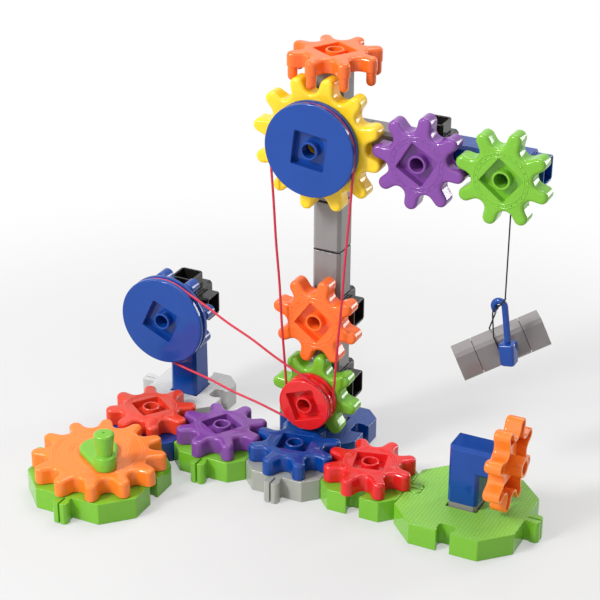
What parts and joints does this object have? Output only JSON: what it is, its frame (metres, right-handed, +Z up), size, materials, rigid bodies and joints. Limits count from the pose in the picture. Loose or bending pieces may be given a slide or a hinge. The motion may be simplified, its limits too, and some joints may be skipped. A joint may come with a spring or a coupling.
{
  "type": "crank gear toy",
  "caption": "Hand-cranked plastic gear toy built as a small crane: clip-together plates, meshing gears, belt pulleys and a load hanging from the arm.",
  "frame": {"origin": "on the floor, under the middle of the plates' footprint", "axes": "+X along the arm, +Z up, the gears on the column face -Y"},
  "size_m": [0.3098, 0.1893, 0.2603],
  "materials": {
    "gear_orange": "glossy orange plastic",
    "gear_green": "glossy green plastic",
    "gear_purple": "glossy purple plastic",
    "gear_blue": "glossy dark blue plastic",
    "gear_red": "glossy red plastic",
    "gear_tomato": "glossy orange-red plastic",
    "gear_yellow": "glossy yellow plastic",
    "pillar_grey": "grey moulded plastic",
    "plate_pale": "pale grey moulded plastic",
    "axle_black": "black moulded plastic",
    "belt_rubber": "red rubber band",
    "string_fibre": "black string"
  },
  "bodies": {
    "frame": {"plate_crank": "gear_green", "plate_tomato": "gear_blue", "plate_purple": "gear_green", "plate_blue": "pillar_grey", "plate_red": "gear_green", "plate_elbow": "gear_green", "plate_left_column": "plate_pale", "plate_column": "gear_blue", "column_link_1": "axle_black", "column_link_2": "axle_black", "column_pillar_lower": "pillar_grey", "column_pillar_middle": "pillar_grey", "column_stack_pillar_1": "pillar_grey", "column_stack_pillar_2": "pillar_grey", "column_stack_pillar_3": "pillar_grey", "column_pillar_top": "pillar_grey", "column_axle_lower": "axle_black", "column_axle_middle": "axle_black", "column_axle_upper": "axle_black", "left_pillar": "gear_blue", "left_axle": "axle_black", "arm_coupler": "pillar_grey", "arm_pillar": "pillar_grey", "arm_axle": "axle_black", "arm_end_beam": "gear_blue", "elbow_coupler": "pillar_grey", "elbow": "gear_blue", "right_orange_gear": "gear_orange", "long_belt": "belt_rubber", "side_belt": "belt_rubber", "string_loop": "string_fibre"},
    "crank": {"crank_gear": "gear_orange", "crank_handle": "gear_green"},
    "tomato": {"tomato_gear": "gear_tomato"},
    "purple_ground": {"purple_ground_gear": "gear_purple"},
    "blue_ground": {"blue_ground_gear": "gear_blue"},
    "red_ground": {"red_ground_gear": "gear_red"},
    "column_green": {"green_column_gear": "gear_green", "red_pulley": "gear_red"},
    "column_orange": {"orange_column_gear": "gear_orange"},
    "upper_wheel": {"yellow_gear": "gear_yellow", "top_pulley": "gear_blue"},
    "arm_purple": {"purple_arm_gear": "gear_purple"},
    "arm_green": {"green_arm_gear": "gear_green"},
    "crown": {"crown_gear": "gear_orange"},
    "left_wheel": {"left_blue_gear": "gear_blue", "left_pulley": "gear_blue"},
    "load": {"string": "string_fibre", "hook": "gear_blue", "sling": "string_fibre", "weight_pillar": "pillar_grey", "weight_cap_left": "pillar_grey", "weight_cap_right": "pillar_grey"}
  },
  "joints": [
    {"name": "crank_turn", "type": "hinge", "parent": "frame", "child": "crank", "pos_m": [-0.10795, -0.0463, 0.0144], "axis": [0, 0, 1], "continuous": true},
    {"name": "tomato_turn", "type": "hinge", "parent": "frame", "child": "tomato", "pos_m": [-0.10795, 0.0172, 0.0144], "axis": [0, 0, 1], "continuous": true},
    {"name": "purple_ground_turn", "type": "hinge", "parent": "frame", "child": "purple_ground", "pos_m": [-0.05715, 0.0172, 0.0144], "axis": [0, 0, 1], "continuous": true},
    {"name": "blue_ground_turn", "type": "hinge", "parent": "frame", "child": "blue_ground", "pos_m": [-0.00635, 0.0172, 0.0144], "axis": [0, 0, 1], "continuous": true},
    {"name": "red_ground_turn", "type": "hinge", "parent": "frame", "child": "red_ground", "pos_m": [0.04445, 0.0172, 0.0144], "axis": [0, 0, 1], "continuous": true},
    {"name": "column_green_turn", "type": "hinge", "parent": "frame", "child": "column_green", "pos_m": [-0.00635, 0.0423, 0.0446], "axis": [0, 1, 0], "continuous": true},
    {"name": "column_orange_turn", "type": "hinge", "parent": "frame", "child": "column_orange", "pos_m": [-0.00635, 0.0423, 0.0954], "axis": [0, 1, 0], "continuous": true},
    {"name": "upper_wheel_turn", "type": "hinge", "parent": "frame", "child": "upper_wheel", "pos_m": [-0.00635, 0.0423, 0.2096], "axis": [0, 1, 0], "continuous": true},
    {"name": "arm_purple_turn", "type": "hinge", "parent": "frame", "child": "arm_purple", "pos_m": [0.05715, 0.0423, 0.2096], "axis": [0, 1, 0], "continuous": true},
    {"name": "arm_green_turn", "type": "hinge", "parent": "frame", "child": "arm_green", "pos_m": [0.10795, 0.0423, 0.2096], "axis": [0, 1, 0], "continuous": true},
    {"name": "crown_turn", "type": "hinge", "parent": "frame", "child": "crown", "pos_m": [-0.00635, 0.068, 0.2517], "axis": [0, 0, 1], "continuous": true},
    {"name": "left_wheel_turn", "type": "hinge", "parent": "frame", "child": "left_wheel", "pos_m": [-0.10795, 0.0423, 0.07745], "axis": [0, 1, 0], "continuous": true},
    {"name": "load_swing", "type": "hinge", "parent": "frame", "child": "load", "pos_m": [0.11025, 0.0562, 0.2006], "axis": [0, 1, 0], "range_deg": [-25, 25]}
  ],
  "couplings": [
    {"joint": "tomato_turn", "follows": "crank_turn", "ratio": -1.5},
    {"joint": "purple_ground_turn", "follows": "crank_turn", "ratio": 1.5},
    {"joint": "blue_ground_turn", "follows": "crank_turn", "ratio": -1.5},
    {"joint": "red_ground_turn", "follows": "crank_turn", "ratio": 1.5},
    {"joint": "column_green_turn", "follows": "crank_turn", "ratio": -1.5},
    {"joint": "column_orange_turn", "follows": "crank_turn", "ratio": 1.5},
    {"joint": "upper_wheel_turn", "follows": "crank_turn", "ratio": -0.85912},
    {"joint": "arm_purple_turn", "follows": "crank_turn", "ratio": 1.2887},
    {"joint": "arm_green_turn", "follows": "crank_turn", "ratio": -1.2887},
    {"joint": "crown_turn", "follows": "crank_turn", "ratio": -1.2887},
    {"joint": "left_wheel_turn", "follows": "crank_turn", "ratio": -0.85912}
  ]
}
